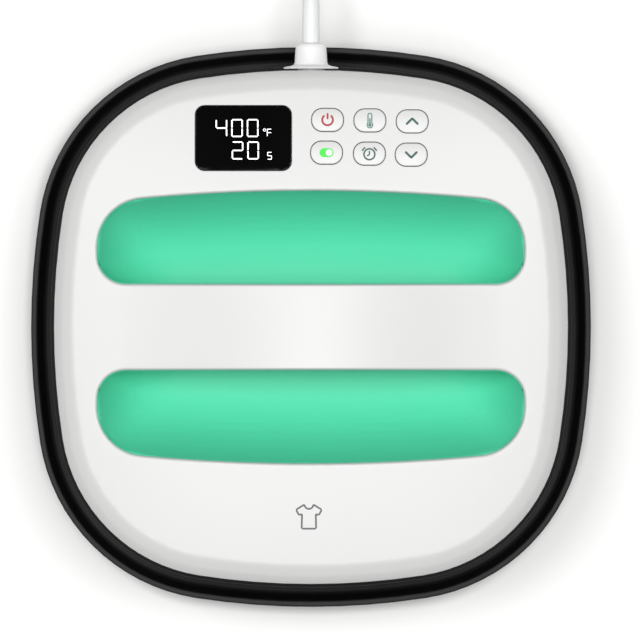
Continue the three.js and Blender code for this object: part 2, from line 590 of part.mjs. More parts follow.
// Three-pin plug lying on its side, its tapered neck towards the coil
function plugGeometry() {
  const ring = (x, width, height, radius) =>
    roundedRectangle(width, height, radius).map((p) => new THREE.Vector3(p.x, p.y + PLUG_Z, x));
  const rings = [ring(0, 11, 11, 5.2), ring(14, 14, 14, 6.5), ring(17, 21, 20, 6), ring(22, 26, 24.2, 5), ring(46, 25, 24, 5)];
  return loft(rings).applyMatrix4(new THREE.Matrix4().makeBasis(new THREE.Vector3(0, 1, 0), new THREE.Vector3(0, 0, 1), new THREE.Vector3(1, 0, 0)));
}

const plug = new THREE.Group();
plug.position.set(tailX(50.4), TAIL_Y, 0);
plug.rotation.z = Math.PI;
lead.add(plug);
const PIN_START = 46.3;
const blade = () => new THREE.BoxGeometry(17, 6.3, 1.5);
add(plug, 'plug_body', plugGeometry(), WHITE, 0.5);
add(plug, 'plug_blade_upper', blade(), 0xc9b36a, 0.3, 0.9).position.set(PIN_START + 8.5, -4, PLUG_Z + 6.35);
add(plug, 'plug_blade_lower', blade(), 0xc9b36a, 0.3, 0.9).position.set(PIN_START + 8.5, -4, PLUG_Z - 6.35);
const pin = turned([[0, 0], [2.4, 0], [2.4, 17], [1.4, 20], [0, 20]], 12).rotateY(Math.PI / 2);
add(plug, 'plug_ground_pin', pin, 0xc9b36a, 0.3, 0.9).position.set(PIN_START, 7.5, PLUG_Z);

const object = new THREE.Group();
object.add(base, press, lead);

export default object;
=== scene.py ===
import math

import bmesh
import bpy
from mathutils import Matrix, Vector


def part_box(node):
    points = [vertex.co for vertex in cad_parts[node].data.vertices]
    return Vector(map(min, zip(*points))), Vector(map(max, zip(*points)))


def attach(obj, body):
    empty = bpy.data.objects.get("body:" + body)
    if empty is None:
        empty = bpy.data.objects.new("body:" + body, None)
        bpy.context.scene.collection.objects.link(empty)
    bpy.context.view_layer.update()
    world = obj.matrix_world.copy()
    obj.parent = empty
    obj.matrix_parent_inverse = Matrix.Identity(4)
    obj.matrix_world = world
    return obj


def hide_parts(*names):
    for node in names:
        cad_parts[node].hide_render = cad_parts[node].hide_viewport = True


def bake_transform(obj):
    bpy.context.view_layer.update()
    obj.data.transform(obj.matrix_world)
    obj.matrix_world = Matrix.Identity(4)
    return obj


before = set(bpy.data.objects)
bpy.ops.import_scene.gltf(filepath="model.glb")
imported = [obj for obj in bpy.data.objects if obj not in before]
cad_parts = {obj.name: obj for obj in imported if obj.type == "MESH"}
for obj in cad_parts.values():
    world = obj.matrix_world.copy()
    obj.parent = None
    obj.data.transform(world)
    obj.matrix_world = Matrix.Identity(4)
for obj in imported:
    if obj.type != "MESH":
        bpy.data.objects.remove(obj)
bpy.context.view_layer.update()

MM = 0.001


# Camera and studio: a pale floor in a pale room, three soft boxes above the object, the strongest at
# its left, and a fourth right overhead. The camera looks straight down from far off, so that the
# press's upright walls stay hidden.
TABLE_VIEW = 320 * MM
CAMERA_PLACE = Vector((4.5, 3.5, 8040)) * MM
CAMERA_REACH = 8.0
LAMP_HEIGHT = 3.85
LAMP_TARGET = Vector((0, 0, 0.05))

bpy.ops.object.camera_add(location=CAMERA_PLACE, rotation=(0, 0, 0))
camera = bpy.context.object
camera.data.sensor_width = 36
camera.data.lens = camera.data.sensor_width * CAMERA_REACH / TABLE_VIEW
camera.data.clip_start = 0.1
camera.data.clip_end = 100
bpy.context.scene.camera = camera
bpy.context.scene.view_settings.view_transform = "Standard"


def studio_lamp(name, x, y, size, power):
    """A square soft box that faces the middle of the table."""
    place = Vector((x, y, LAMP_HEIGHT))
    bpy.ops.object.light_add(type="AREA", location=place)
    lamp = bpy.context.object
    lamp.name = name
    lamp.data.size = size
    lamp.data.energy = power
    lamp.rotation_euler = (LAMP_TARGET - place).to_track_quat("-Z", "Y").to_euler()


studio_lamp("left_lamp", -1.15, 0.56, 1.0, 45)
studio_lamp("right_lamp", 0.9, 0.5, 1.0, 37)
studio_lamp("front_lamp", -0.05, -0.8, 1.1, 30)
studio_lamp("overhead_lamp", 0, 0, 0.9, 34)

room = bpy.data.worlds.new("pale_room")
room.use_nodes = True
room_light = room.node_tree.nodes["Background"].inputs
room_light["Color"].default_value = (1, 1, 1, 1)
room_light["Strength"].default_value = 0.26
bpy.context.scene.world = room


# Shader maths, first used on the floor: a Wire is one socket, and +, -, * and / on it add Math nodes.
# A Finish is one material, and node() adds any other node to it.
class Wire:
    def __init__(self, finish, socket):
        self.finish = finish
        self.socket = socket

    def maths(self, operation, first, second):
        return self.finish.node("Math", {"operation": operation}, {0: first, 1: second})

    def __add__(self, other):
        return self.maths("ADD", self, other)

    def __radd__(self, other):
        return self.maths("ADD", other, self)

    def __sub__(self, other):
        return self.maths("SUBTRACT", self, other)

    def __rsub__(self, other):
        return self.maths("SUBTRACT", other, self)

    def __mul__(self, other):
        return self.maths("MULTIPLY", self, other)

    def __rmul__(self, other):
        return self.maths("MULTIPLY", other, self)

    def __truediv__(self, other):
        return self.maths("DIVIDE", self, other)


class Finish:
    def __init__(self, name, **shader):
        self.material = bpy.data.materials.new(name)
        self.material.use_nodes = True
        self.tree = self.material.node_tree
        self.shader = self.tree.nodes["Principled BSDF"]
        for socket, value in shader.items():
            self.set("IOR" if socket == "ior" else socket.replace("_", " ").title(), value)
        self.place = self.node("TexCoord", output="Object")

    def node(self, kind, settings=None, inputs=None, output=0):
        made = self.tree.nodes.new("ShaderNode" + kind)
        for key, value in (settings or {}).items():
            setattr(made, key, value)
        for key, value in (inputs or {}).items():
            self.feed(made.inputs[key], value)
        return Wire(self, made.outputs[output])

    def feed(self, socket, value):
        if isinstance(value, Wire):
            self.tree.links.new(value.socket, socket)
        else:
            socket.default_value = value

    def set(self, socket, value):
        self.feed(self.shader.inputs[socket], value)

    def noise(self, scale, detail=3, roughness=0.5):
        """Cloudy grey, 0 to 1, with features 1/scale metres across."""
        inputs = {"Vector": self.place, "Scale": scale, "Detail": detail, "Roughness": roughness}
        return self.node("TexNoise", None, inputs)

    def mix(self, factor, first, second):
        """A colour between two colours."""
        wires = {0: factor, 6: first, 7: second}
        return self.node("Mix", {"data_type": "RGBA"}, wires, output=2)

    def ramp(self, value, low, high):
        """0 below low, 1 above high."""
        return self.node("MapRange", None, {"Value": value, "From Min": low, "From Max": high})

    def bump(self, height, distance):
        """Raises the surface by height times distance, in metres."""
        self.set("Normal", self.node("Bump", None, {"Height": height, "Distance": distance}))


def tint(colour, factor):
    return (*(min(1.0, c * factor) for c in colour), 1)


def moulded(name, colour, roughness, grain=0.02 * MM, grain_size=0.7 * MM, clouds=0.03, **shader):
    """Moulded plastic: fine spark-eroded grain, faint clouds of colour and slightly uneven gloss."""
    finish = Finish(name, **shader)
    cloud = finish.noise(9, 4)
    finish.set("Base Color", finish.mix(cloud, tint(colour, 1 - clouds), tint(colour, 1 + clouds)))
    fine = finish.noise(1 / grain_size, 2, 0.6)
    finish.set("Roughness", roughness + 0.06 * (cloud - 0.5) + 0.08 * (fine - 0.5))
    finish.bump(fine, grain)
    return finish.material


bpy.ops.object.select_all(action="DESELECT")
bpy.ops.mesh.primitive_plane_add(size=60)
floor = bpy.context.object
floor.name = "floor"
floor_finish = Finish("floor_paper", roughness=0.9)
paper_tones = ((0.94, 0.94, 0.93, 1), (0.95, 0.95, 0.94, 1))
floor_finish.set("Base Color", floor_finish.mix(floor_finish.noise(0.7), *paper_tones))
floor.data.materials.append(floor_finish.material)


# Mains lead, 1.78 m of round white three-core cord 8.5 mm thick. It runs straight out of the strain
# relief, falls onto a coil of two layers, winds in on top and out below, and rises into its plug.
CORD_RADIUS = 4.25 * MM
RELIEF_TIP = Vector((0, 141.5, 56)) * MM
TURN_STEP = 8.7
UPPER_TURNS, DROP_TURNS, LOWER_TURNS = 2.5, 0.5, 2.25
DROP_SQUEEZE = 1.5
COIL_INNER = 39.5
COIL_OUTER = COIL_INNER + UPPER_TURNS * TURN_STEP
COIL_X = -COIL_OUTER
COIL_Y = 240
LOWER_LAYER = 5.25
UPPER_LAYER = 13.85
PLUG_Z = 12.2
TAIL_Y = COIL_Y + COIL_INNER + LOWER_TURNS * TURN_STEP
LEAD_ROUTE = [
    (0, 141.8, 56), (0, 149, 56), (0, 157.5, 55.9), (0, 164, 55.2), (0, 172, 52.9), (0, 180, 48.8),
    (0, 186.5, 43.4), (0, 191.5, 37), (0, 195.5, 30.6), (0, 200.2, 25.2), (0, 205.5, 21.2),
    (0, 211, 17.9), (0, 217, 15.6), (0, 223.5, 14.3), (0, 231, UPPER_LAYER),
]
TAIL_ROUTE = [
    (COIL_X - 12, TAIL_Y, LOWER_LAYER), (COIL_X - 24, TAIL_Y, LOWER_LAYER), (COIL_X - 31, TAIL_Y, 6.2),
    (COIL_X - 37.5, TAIL_Y, 8.4), (COIL_X - 41, TAIL_Y, 10.3), (COIL_X - 44.5, TAIL_Y, 11.7),
    (COIL_X - 47.5, TAIL_Y, PLUG_Z), (COIL_X - 52, TAIL_Y, PLUG_Z),
]


def coil_route(per_turn=14):
    """In on the upper layer, half a turn down at the middle, and out on the lower layer."""
    points = []
    for step in range(round((UPPER_TURNS + DROP_TURNS + LOWER_TURNS) * per_turn) + 1):
        turn = step / per_turn
        if turn < UPPER_TURNS:
            radius, height = COIL_OUTER - TURN_STEP * turn, UPPER_LAYER
        elif turn < UPPER_TURNS + DROP_TURNS:
            down = (turn - UPPER_TURNS) / DROP_TURNS
            radius = COIL_INNER - DROP_SQUEEZE * math.sin(math.pi * down)
            height = UPPER_LAYER + (LOWER_LAYER - UPPER_LAYER) * down * down * (3 - 2 * down)
        else:
            outward = turn - UPPER_TURNS - DROP_TURNS
            radius, height = COIL_INNER + TURN_STEP * outward, LOWER_LAYER
        angle = 2 * math.pi * turn
        points.append((COIL_X + radius * math.cos(angle), COIL_Y + radius * math.sin(angle), height))
    return points


def smooth_route(points, parts):
    """More points on a smooth curve through points."""
    spots = [Vector(p) * MM for p in points]
    spots = [2 * spots[0] - spots[1], *spots, 2 * spots[-1] - spots[-2]]
    route = []
    for a, b, c, d in zip(spots, spots[1:], spots[2:], spots[3:]):
        for part in range(parts):
            t = part / parts
            straight = 2 * b + (c - a) * t
            bend = (2 * a - 5 * b + 4 * c - d) * t**2
            twist = (3 * b - a - 3 * c + d) * t**3
            route.append(0.5 * (straight + bend + twist))
    return [*route, spots[-2]]


def tube(name, route, radius):
    """A round bar with flat ends along a route."""
    curve = bpy.data.curves.new(name, "CURVE")
    curve.dimensions = "3D"
    curve.bevel_depth = radius
    curve.bevel_resolution = 6
    curve.use_fill_caps = True
    line = curve.splines.new("POLY")
    line.points.add(len(route) - 1)
    for point, spot in zip(line.points, route):
        point.co = (*spot, 1)
    piece = bpy.data.objects.new(name, curve)
    bpy.context.collection.objects.link(piece)
    bpy.ops.object.select_all(action="DESELECT")
    bpy.context.view_layer.objects.active = piece
    piece.select_set(True)
    bpy.ops.object.convert(target="MESH")
    piece = bpy.context.object
    piece.name = name
    bpy.ops.object.shade_smooth_by_angle(angle=math.radians(40))
    return piece


def sheath():
    """Soft white cord sheath, satin, with a faint drawn grain and a little handling dirt."""
    finish = Finish("cord_sheath", roughness=0.42, coat_weight=0.05)
    dirt = finish.ramp(finish.noise(35, 5), 0.45, 0.8)
    finish.set("Base Color", finish.mix(dirt, (0.80, 0.81, 0.82, 1), (0.72, 0.72, 0.71, 1)))
    finish.set("Roughness", 0.38 + 0.12 * finish.noise(120))
    finish.bump(finish.noise(900, 2), 0.02 * MM)
    return finish.material


cord_route = smooth_route([*LEAD_ROUTE, *coil_route(), *TAIL_ROUTE], 4)
mains_lead = tube("mains_lead", cord_route, CORD_RADIUS)
mains_lead.data.materials.append(sheath())
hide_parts("cord_lead", "cord_coil", "cord_tail")


# Strain relief: a soft white moulding with a thin collar on the shell's back wall, a neck that tapers
# and rounds over at its tip, and a flange inside the wall.
class Pen:
    """Draws loops in edit mode: straight runs are extruded and arcs are spun from one point."""

    def __init__(self, name):
        bpy.ops.object.select_all(action="DESELECT")
        bpy.ops.mesh.primitive_plane_add(size=1 * MM)
        self.piece = bpy.context.object
        self.piece.name = name
        self.piece.data.name = name
        bpy.ops.object.mode_set(mode="EDIT")
        bpy.ops.mesh.delete(type="VERT")
        self.mesh().verts.layers.int.new("loop")
        self.loops = 0

    def mesh(self):
        return bmesh.from_edit_mesh(self.piece.data)

    def pick(self, *numbers):
        """Selects loops by number, from 1 up. Number 0 is the one being drawn."""
        bm = self.mesh()
        loop = bm.verts.layers.int["loop"]
        bpy.ops.mesh.select_all(action="DESELECT")
        for v in bm.verts:
            v.select_set(v[loop] in numbers)
        bm.select_flush(True)
        bmesh.update_edit_mesh(self.piece.data)

    def draw(self, start, moves, closed=True):
        """Moves are points to run to, or (centre, angle, steps) for an arc about +Z or an added axis."""
        bpy.ops.mesh.primitive_plane_add(size=1 * MM, location=start)
        bpy.ops.mesh.merge(type="CENTER")
        spot = Vector(start)
        for move in moves:
            if len(move) == 3 and not isinstance(move[0], (tuple, Vector)):
                bpy.ops.mesh.extrude_region_move(TRANSFORM_OT_translate={"value": Vector(move) - spot})
                spot = Vector(move)
            else:
                centre, angle, steps, *axis = move
                axis = axis[0] if axis else (0, 0, 1)
                bpy.ops.mesh.spin(steps=steps, angle=-angle, center=centre, axis=axis)
                spot = next(v.co.copy() for v in self.mesh().verts if v.select)
        self.pick(0)
        if closed:
            bpy.ops.mesh.remove_doubles(threshold=0.01 * MM)
        self.loops += 1
        bm = self.mesh()
        loop = bm.verts.layers.int["loop"]
        for v in bm.verts:
            v[loop] = v[loop] or self.loops

    def skin(self, ends=True, ring=False):
        """Bridges each loop to the next, and closes the ends or joins the last loop to the first."""
        for first in range(1, self.loops):
            self.pick(first, first + 1)
            bpy.ops.mesh.bridge_edge_loops()
        if ring:
            self.pick(1, self.loops)
            bpy.ops.mesh.bridge_edge_loops()
        elif ends:
            for loop in (1, self.loops):
                self.pick(loop)
                bpy.ops.mesh.edge_face_add()
        bpy.ops.mesh.select_all(action="SELECT")
        bpy.ops.mesh.normals_make_consistent(inside=False)

    def bevel(self, width, test, segments=4):
        """Rounds the edges that pass the test."""
        bm = self.mesh()
        bm.normal_update()
        bm.select_mode = {"EDGE"}
        for e in bm.edges:
            e.select_set(False)
        for e in bm.edges:
            if test(e):
                e.select_set(True)
        bm.select_flush_mode()
        bpy.context.tool_settings.mesh_select_mode = (False, True, False)
        bmesh.update_edit_mesh(self.piece.data)
        bpy.ops.mesh.bevel(
            offset=width, segments=segments, affect="EDGES", loop_slide=False, clamp_overlap=False
        )
        bpy.context.tool_settings.mesh_select_mode = (True, False, False)

    def finish(self, material, angle=35):
        """Leaves edit mode with faces outward and smooth."""
        bpy.ops.mesh.select_all(action="SELECT")
        bpy.ops.mesh.remove_doubles(threshold=0.001 * MM)
        bpy.ops.mesh.normals_make_consistent(inside=False)
        bpy.ops.object.mode_set(mode="OBJECT")
        if "loop" in self.piece.data.attributes:
            self.piece.data.attributes.remove(self.piece.data.attributes["loop"])
        bpy.ops.object.shade_smooth_by_angle(angle=math.radians(angle))
        if material is not None:
            self.piece.data.materials.append(material)
        return self.piece


def at_height(*heights):
    """Passes the level edges at one of the heights that turn a corner."""
    return lambda e: e.calc_face_angle(0) > 0.3 and any(
        all(abs(v.co.z - z * MM) < 0.02 * MM for v in e.verts) for z in heights
    )


def turned(name, profile, place, axis, material, steps=48):
    """A body spun round an axis through place, from pairs of distance along it and radius."""
    pen = Pen(name)
    along = Vector(axis)
    out = along.orthogonal().normalized()
    points = [Vector(place) + along * (run * MM) + out * (radius * MM) for run, radius in profile]
    pen.draw(points[0], [tuple(p) for p in points[1:]], closed=False)
    bpy.ops.mesh.select_all(action="SELECT")
    bpy.ops.mesh.spin(steps=steps, angle=2 * math.pi, center=place, axis=axis)
    return pen.finish(material)


relief_white = moulded("soft_white_moulding", (0.84, 0.84, 0.84), 0.45)
RELIEF_PROFILE = [
    (-23.5, 0), (-23.5, 9.2), (-23.2, 9.5), (-20.3, 9.5), (-20, 9.2), (-20, 6.9), (-12.7, 6.9),
    (-12.7, 13.6), (-12.2, 13.7), (-11.8, 13.3), (-11.3, 10.4), (-10.6, 8.6), (-9.4, 8.15),
    (-3, 7.75), (-1.6, 7.5), (-0.7, 6.9), (-0.2, 6.1), (0, 5.2), (-0.1, 4.7), (-0.9, 4.35),
    (-2, 4.3), (-2, 0),
]
strain_relief = turned("strain_relief_neck", RELIEF_PROFILE, RELIEF_TIP, (0, 1, 0), relief_white, 64)
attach(strain_relief, "press")
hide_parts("strain_relief")


# Plug: a white three-pin moulding lying on its side, with a ribbed tapered neck, a waist for the
# fingers and three plated brass pins.
PLUG_X = COIL_X - 50.4


def rounded_loop(pen, middle, across, up, width, height, radius, steps=6):
    """Draws a rounded rectangle in the plane of the unit vectors across and up."""
    across, up = Vector(across), Vector(up)
    axis = tuple(across.cross(up))
    x, y = width / 2 - radius, height / 2 - radius

    def spot(a, b):
        return tuple(Vector(middle) + (across * a + up * b) * MM)

    corners = [(x, y), (-x, y), (-x, -y), (x, -y)]
    side_ends = [(-x, height / 2), (-width / 2, -y), (x, -height / 2), (width / 2, y)]
    moves = []
    for corner, side_end in zip(corners, side_ends):
        moves += [(spot(*corner), math.pi / 2, steps, axis), spot(*side_end)]
    pen.draw(spot(width / 2, y), moves)


# Distance along the plug, width, height and corner radius of each section.
PLUG_SECTIONS = [
    (0, 11, 11, 5.2), (0.8, 12.2, 12.2, 5.8), (3, 12.4, 12.4, 5.9), (3.4, 11, 11, 5.2),
    (4.6, 11, 11, 5.2), (5, 12.9, 12.9, 6.1), (7.4, 13.1, 13.1, 6.2), (7.8, 11.4, 11.4, 5.4),
    (9, 11.4, 11.4, 5.4), (9.4, 13.6, 13.6, 6.4), (12, 14, 14, 6.5), (15, 16.5, 16.5, 6.4),
    (17.5, 21.2, 20.6, 6), (20, 24.4, 23.2, 5.4), (24, 25.8, 24.2, 5), (31, 24.6, 23.4, 5),
    (38, 24.6, 23.4, 5), (43, 25.8, 24.2, 5), (45, 25.6, 24, 5), (45.8, 24.6, 23.2, 4.6),
    (46, 23.6, 22.2, 4.4),
]
plug_pen = Pen("plug_moulding")
for run, width, height, radius in PLUG_SECTIONS:
    middle = Vector((PLUG_X - run, TAIL_Y, PLUG_Z)) * MM
    rounded_loop(plug_pen, middle, (0, -1, 0), (0, 0, 1), width, height, radius)
plug_pen.skin()
plug_body = plug_pen.finish(relief_white)
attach(plug_body, "base")
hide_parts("plug_body")


def plated(name, colour, roughness, scratch=900):
    """Bright metal with fine drawn scratches and slightly uneven tarnish."""
    finish = Finish(name, metallic=1.0)
    tarnish = finish.noise(60, 4)
    finish.set("Base Color", finish.mix(tarnish, tint(colour, 0.85), tint(colour, 1.1)))
    finish.set("Roughness", roughness + 0.12 * finish.noise(scratch, 2))
    finish.bump(finish.noise(scratch, 2), 0.008 * MM)
    return finish.material


brass = plated("plug_brass", (0.72, 0.56, 0.26), 0.24)
GROUND_PROFILE = [(-0.5, 0), (-0.5, 2.4), (16.8, 2.4), (18.4, 2.1), (19.5, 1.5), (20, 0.7), (20, 0)]


def blade(name, low, high):
    """A flat blade between two corners of its box, narrowed at its tip."""
    pen = Pen(name)
    middle, size = (low + high) / 2, (high - low) / MM
    root, shoulder, bevel_start, tip = high.x + 0.4 * MM, low.x + 2.2 * MM, low.x + 0.7 * MM, low.x
    for x, share in ((root, 1), (shoulder, 1), (bevel_start, 0.78), (tip, 0.5)):
        width, height = size.y * (0.4 + 0.6 * share), size.z * share
        rounded_loop(pen, (x, middle.y, middle.z), (0, -1, 0), (0, 0, 1), width, height, 0.3 * share, 3)
    pen.skin()
    return pen.finish(brass)


for node in ("plug_blade_upper", "plug_blade_lower", "plug_ground_pin"):
    low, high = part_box(node)
    if node == "plug_ground_pin":
        root = (high.x, (low.y + high.y) / 2, (low.z + high.z) / 2)
        pin = turned(node + "_plated", GROUND_PROFILE, root, (-1, 0, 0), brass, 32)
    else:
        pin = blade(node + "_plated", low, high)
    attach(pin, "base")
    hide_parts(node)


# Strap: black hook-and-loop tape, once round the coiled turns at their left, that keeps the coil
# together on the table.
tie_low, tie_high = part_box("cord_tie")
tie_middle = (tie_low + tie_high) / 2
tie_size = (tie_high - tie_low) / MM


def tape():
    """Woven black tape: small loops in rows, matt."""
    finish = Finish("strap_tape", roughness=0.95)
    loops = finish.node("TexVoronoi", None, {"Vector": finish.place, "Scale": 1400.0}, output="Distance")
    finish.set("Base Color", finish.mix(loops, (0.03, 0.03, 0.032, 1), (0.008, 0.008, 0.009, 1)))
    finish.bump(1 - loops, 0.15 * MM)
    return finish.material


TAPE_THICK, TAPE_HALF_WIDTH, TAPE_CORNER = 0.5, 6, 4.6
tie_pen = Pen("coil_strap")
for inset, side in ((0, -1), (TAPE_THICK, -1), (TAPE_THICK, 1), (0, 1)):
    place = (tie_middle.x, tie_middle.y + side * TAPE_HALF_WIDTH * MM, tie_middle.z)
    width, height = tie_size.x - 2 * inset, tie_size.z - 2 * inset
    rounded_loop(tie_pen, place, (1, 0, 0), (0, 0, 1), width, height, TAPE_CORNER - inset, 8)
tie_pen.skin(ring=True)
coil_strap = tie_pen.finish(tape())
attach(coil_strap, "base")
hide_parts("cord_tie")

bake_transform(mains_lead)


# Common outline of the press and its base: four bowed sides and four corner arcs that run into them.
# Each moulding follows it at its own half width, so that all the gaps round the press are even.
SIDE_CENTRE = 237
CORNER_LESS = 46.7
CORNER_CENTRE = (math.sqrt(2 * (SIDE_CENTRE + CORNER_LESS) ** 2 - SIDE_CENTRE**2) - SIDE_CENTRE) / 2
SIDE_ANGLE = math.atan2(CORNER_CENTRE, CORNER_CENTRE + SIDE_CENTRE)


def bowed_loop(pen, half, z, side_steps=8, corner_steps=16):
    """Draws the outline at a half width and a height."""
    moves = []
    for side in range(4):
        turn = side * math.pi / 2
        c, s = math.cos(turn), math.sin(turn)
        side_middle = (-SIDE_CENTRE * c * MM, -SIDE_CENTRE * s * MM, z * MM)
        corner = CORNER_CENTRE * (c - s) * MM, CORNER_CENTRE * (c + s) * MM, z * MM
        moves.append((side_middle, 2 * SIDE_ANGLE, side_steps))
        moves.append((corner, math.pi / 2 - 2 * SIDE_ANGLE, corner_steps))
    radius = half + SIDE_CENTRE
    start = (radius * math.cos(SIDE_ANGLE) - SIDE_CENTRE, -radius * math.sin(SIDE_ANGLE), z)
    pen.draw(Vector(start) * MM, moves)


# Safety base: a deep black tray with a flat rim, moulded in heat-proof plastic with a fine grain.
# The hot press is parked in it.
BLACK_GRAIN = {"grain": 0.035 * MM, "grain_size": 0.5 * MM, "clouds": 0.1}
housing_black = moulded("black_moulding", (0.015, 0.015, 0.0154), 0.5, ior=1.28, **BLACK_GRAIN)

tray_pen = Pen("base_tray_moulding")
for half, z in ((135.5, 3), (138.2, 8), (140.2, 20), (140.2, 27), (137.2, 27), (136.4, 20), (134.5, 7)):
    bowed_loop(tray_pen, half, z)
tray_pen.skin()
tray_pen.bevel(0.7 * MM, at_height(27), 3)
tray_pen.bevel(2 * MM, at_height(3, 7), 4)
base_tray = tray_pen.finish(housing_black, 50)
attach(base_tray, "base")
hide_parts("base_tray")


# Mat: a dark grey silicone pad laid on the tray's floor, with a ribbed face. The hot plate stands
# on it.
RIB_PITCH = 4


def ribbed_silicone():
    """Silicone with ribs along its width and a little dust."""
    finish = Finish("mat_silicone", roughness=0.7)
    split = finish.node("SeparateXYZ", None, {0: finish.place}, output="Y")
    wave = finish.node("Math", {"operation": "SINE"}, {0: split * (2 * math.pi / (RIB_PITCH * MM))})
    ribs = finish.ramp(wave, -1.0, 1.0)
    dust = finish.noise(40, 5)
    finish.set("Base Color", finish.mix(dust, (0.11, 0.112, 0.116, 1), (0.16, 0.163, 0.168, 1)))
    finish.bump(ribs, 0.2 * MM)
    return finish.material


mat_pen = Pen("heat_mat")
for half, z in ((119, 7.3), (119, 10.5)):
    bowed_loop(mat_pen, half, z)
mat_pen.skin()
mat_pen.bevel(0.8 * MM, at_height(10.5), 3)
heat_mat = mat_pen.finish(ribbed_silicone())
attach(heat_mat, "base")
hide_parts("base_mat")


# Feet: four round black rubber feet set under the tray near its corners, dished a little where they
# stand.
foot_rubber = moulded("foot_rubber", (0.02, 0.02, 0.02), 0.8, grain=0.05 * MM)
FOOT_PROFILE = [(0.5, 0), (0.3, 5), (0, 7.5), (0, 9), (0.5, 9.6), (2, 9.95), (2.7, 10), (2.7, 0)]
for place in ("back_right", "back_left", "front_left", "front_right"):
    low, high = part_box(f"base_foot_{place}")
    ground = ((low.x + high.x) / 2, (low.y + high.y) / 2, low.z)
    foot = turned(f"rubber_foot_{place}", FOOT_PROFILE, ground, (0, 0, 1), foot_rubber, 40)
    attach(foot, "base")
    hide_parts(f"base_foot_{place}")


# Lower housing: a black heat-proof skirt round the hot plate, screwed to the shell through its shelf,
# with a thin flange that shows round the shell. Its black is darker than the tray's, as painted shade,
# so that the lit flange reads as dark as the shaded gap beside it.
# Painted shade: the same black plastic as the tray, painted darker so the flange reads like the shaded
# gap round the shell.
skirt_black_painted_shade = moulded("skirt_moulding_painted_shade", (0.009, 0.009, 0.0092), 0.45, ior=1.35, **BLACK_GRAIN)
# Half width and height, from the lower edge up the outside, over the shelf and back.
HOUSING_PROFILE = (
    (118.5, 18.4), (118.9, 18), (123, 18), (123.6, 18.4), (126.5, 34), (127, 34.8), (129.8, 36.5),
    (130.3, 37.1), (130.3, 39.5), (129.8, 40), (124.9, 40), (124.9, 47), (122, 47), (122, 45),
    (55, 45), (55, 42), (121, 42),
)
housing_pen = Pen("lower_housing_moulding")
for half, z in HOUSING_PROFILE:
    bowed_loop(housing_pen, half, z)
housing_pen.skin(ring=True)
lower_housing = housing_pen.finish(skirt_black_painted_shade, 50)
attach(lower_housing, "press")
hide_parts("lower_housing")


# Hot plate: cast aluminium with a dark speckled non-stick coating and a rounded lower edge, held
# under the skirt's shelf by screws.
def coated():
    """Non-stick coating: dark, with fine pale specks and a slight orange peel."""
    finish = Finish("plate_coating", metallic=0.2)
    specks = finish.ramp(finish.noise(2500, 2), 0.66, 0.7)
    finish.set("Base Color", finish.mix(specks, (0.05, 0.05, 0.053, 1), (0.22, 0.22, 0.22, 1)))
    finish.set("Roughness", 0.35 + 0.15 * finish.noise(50))
    finish.bump(finish.noise(700, 3), 0.02 * MM)
    return finish.material


plate_pen = Pen("hot_plate")
for half, z in ((114.3, 10.8), (114.3, 24.8)):
    bowed_loop(plate_pen, half, z)
plate_pen.skin()
plate_pen.bevel(1.5 * MM, at_height(10.8), 4)
hot_plate = plate_pen.finish(coated())
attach(hot_plate, "press")
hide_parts("heating_plate")


# Upper shell: one white satin moulding, a near-upright wall, a round shoulder and a gently domed top
# that rises to a bridge between the two openings of the grip well. It is cut flat and then domed.
SHELL_BOTTOM, SHELL_FLAT, SHELL_UNDER = 40.3, 103, 100
SHOULDER_HALF = 114.2
DOME_RISE = 5
HANDLE_RISE = 7
HANDLE_HALF_LENGTH = 98
HANDLE_HALF_WIDTH = 21.5
BRIDGE_HALF_WIDTH = 40
GRID_SHIFT = 0.137


def reach(half, angle):
    """How far the common outline lies from the middle, along an angle."""
    folded = abs(angle - round(angle / (math.pi / 2)) * (math.pi / 2))
    along = Vector((math.cos(folded), math.sin(folded)))

    def hit(centre, radius):
        dot = along.dot(centre)
        return dot + math.sqrt(dot * dot - centre.length_squared + radius * radius)

    side = hit(Vector((-SIDE_CENTRE, 0)), half + SIDE_CENTRE)
    if math.atan2(side * along.y, side * along.x + SIDE_CENTRE) <= SIDE_ANGLE:
        return side
    return hit(Vector((CORNER_CENTRE, CORNER_CENTRE)), half - CORNER_LESS)


def crown(x, y):
    """How far the domed top and the handle rise above the flat, in millimetres."""
    share = math.hypot(x, y) / reach(SHOULDER_HALF, math.atan2(y, x))
    rise = DOME_RISE * (1 - share * share)
    if abs(y) < BRIDGE_HALF_WIDTH and abs(x) < HANDLE_HALF_LENGTH:
        rise += HANDLE_RISE * math.cos(math.pi / 2 * x / HANDLE_HALF_LENGTH) ** 2
    return rise


def grid_cut(step, reach_x, reach_y):
    """Cuts the piece in edit mode along a square grid, so that it can take the dome.

    The grid is shifted a little, so that no cut runs along an edge.
    """
    bpy.ops.mesh.select_all(action="SELECT")
    bpy.ops.mesh.quads_convert_to_tris()
    for axis, far in (((1, 0, 0), reach_x), ((0, 1, 0), reach_y)):
        for line in range(round(-far / step), round(far / step) + 1):
            bpy.ops.mesh.select_all(action="SELECT")
            place = Vector(axis) * ((line * step + GRID_SHIFT) * MM)
            bpy.ops.mesh.bisect(plane_co=place, plane_no=axis)


def dome(piece):
    """Lifts what lies above the shell's under side onto the domed top."""
    for v in piece.data.vertices:
        z = v.co.z / MM
        lift = min(1, max(0, (z - SHELL_UNDER) / (SHELL_FLAT - SHELL_UNDER)))
        lift = lift * lift * (3 - 2 * lift)
        v.co.z += lift * crown(v.co.x / MM, v.co.y / MM) * MM


